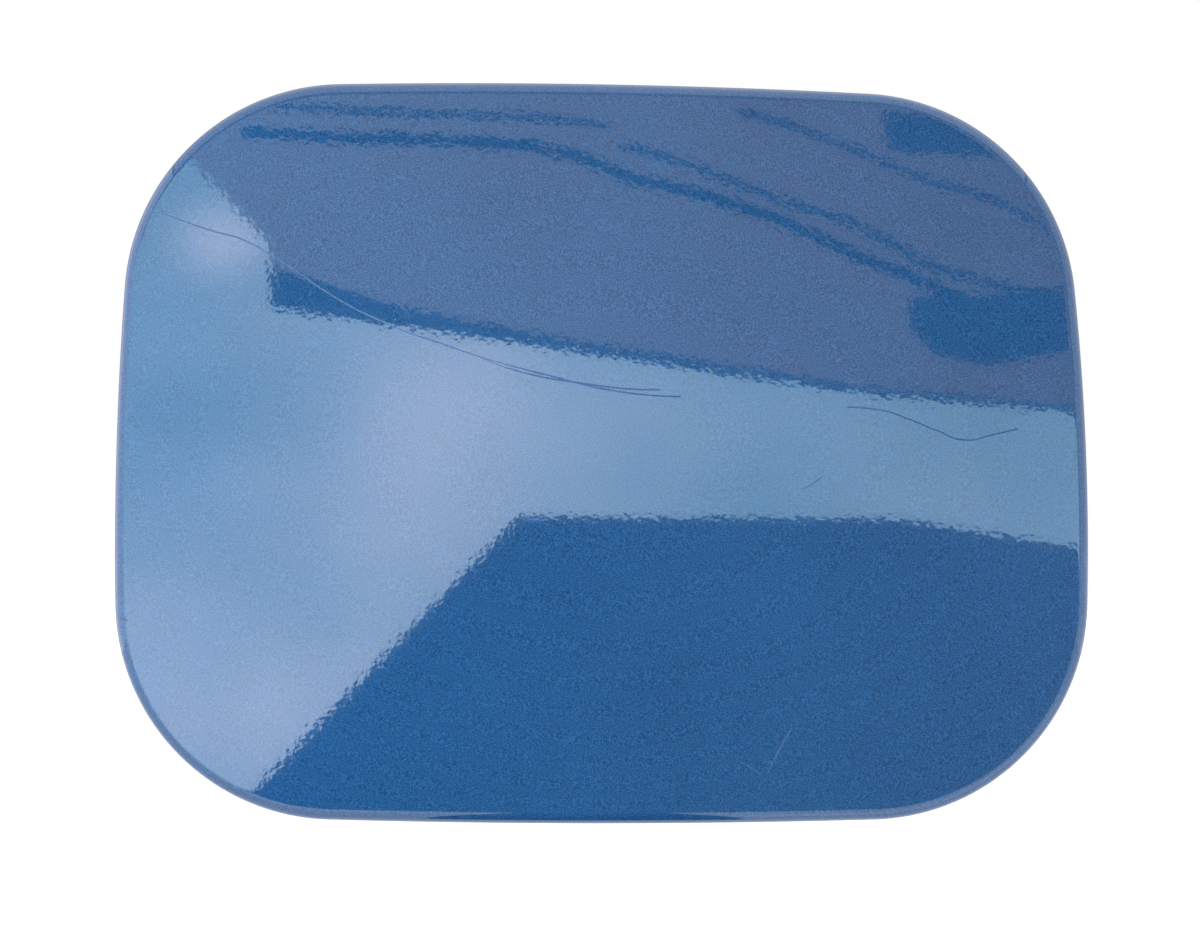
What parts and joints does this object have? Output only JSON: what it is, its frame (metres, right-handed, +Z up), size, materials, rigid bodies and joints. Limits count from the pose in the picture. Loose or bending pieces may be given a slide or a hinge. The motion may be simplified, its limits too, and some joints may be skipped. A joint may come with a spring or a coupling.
{
  "type": "car fuel door",
  "caption": "Crowned, painted steel door with a rolled edge, a hemmed inner panel, a sprung hinge bracket, a latch striker and a fuel cap holder.",
  "frame": {"origin": "midway between the hinge bracket's two bolt holes, on the face that meets the car", "axes": "+X to the right as seen from outside, +Y into the car, +Z up; the door is shut"},
  "size_m": [0.1651, 0.032, 0.1257],
  "materials": {
    "body_paint": "metallic blue with a glossy clear coat",
    "inner_paint": "body colour without the thick clear coat, satin",
    "mastic": "matt",
    "black_rubber": "matt",
    "black_coat": "satin black dip coat",
    "nylon": "natural, waxy",
    "zinc_plate": "bright zinc plate, slightly cloudy",
    "rivet_aluminium": "satin",
    "black_plastic": "fine-grained moulding",
    "black_screw": "black zinc plate",
    "pin_steel": "turned and plated, satin",
    "spring_steel": "dark, oiled"
  },
  "bodies": {
    "bracket": {"hinge_bracket": "zinc_plate", "hinge_pin": "pin_steel", "pin_clip": "spring_steel", "torsion_spring": "spring_steel"},
    "door": {"outer_skin": "body_paint", "inner_panel": "inner_paint", "mastic_pad_upper_left": "mastic", "mastic_pad_lower_left": "mastic", "mastic_pad_upper_right": "mastic", "mastic_pad_lower_right": "mastic", "bump_stop_upper_left": "black_rubber", "bump_stop_lower_left": "black_rubber", "bump_stop_upper_right": "black_rubber", "bump_stop_lower_right": "black_rubber", "hinge_arm": "black_coat", "arm_bush_upper": "nylon", "arm_bush_lower": "nylon", "latch_striker": "zinc_plate", "striker_rivet_upper": "rivet_aluminium", "striker_rivet_lower": "rivet_aluminium", "cap_holder": "black_plastic", "cap_holder_screw_left": "black_screw", "cap_holder_screw_right": "black_screw"}
  },
  "joints": [
    {"name": "door_hinge", "type": "hinge", "parent": "bracket", "child": "door", "pos_m": [-0.027, -0.02, 0], "axis": [0, 0, -1], "range_deg": [0, 100], "stiffness_Nm_per_rad": 0.25, "springref_deg": -20.05, "deforming": ["torsion_spring"]}
  ]
}
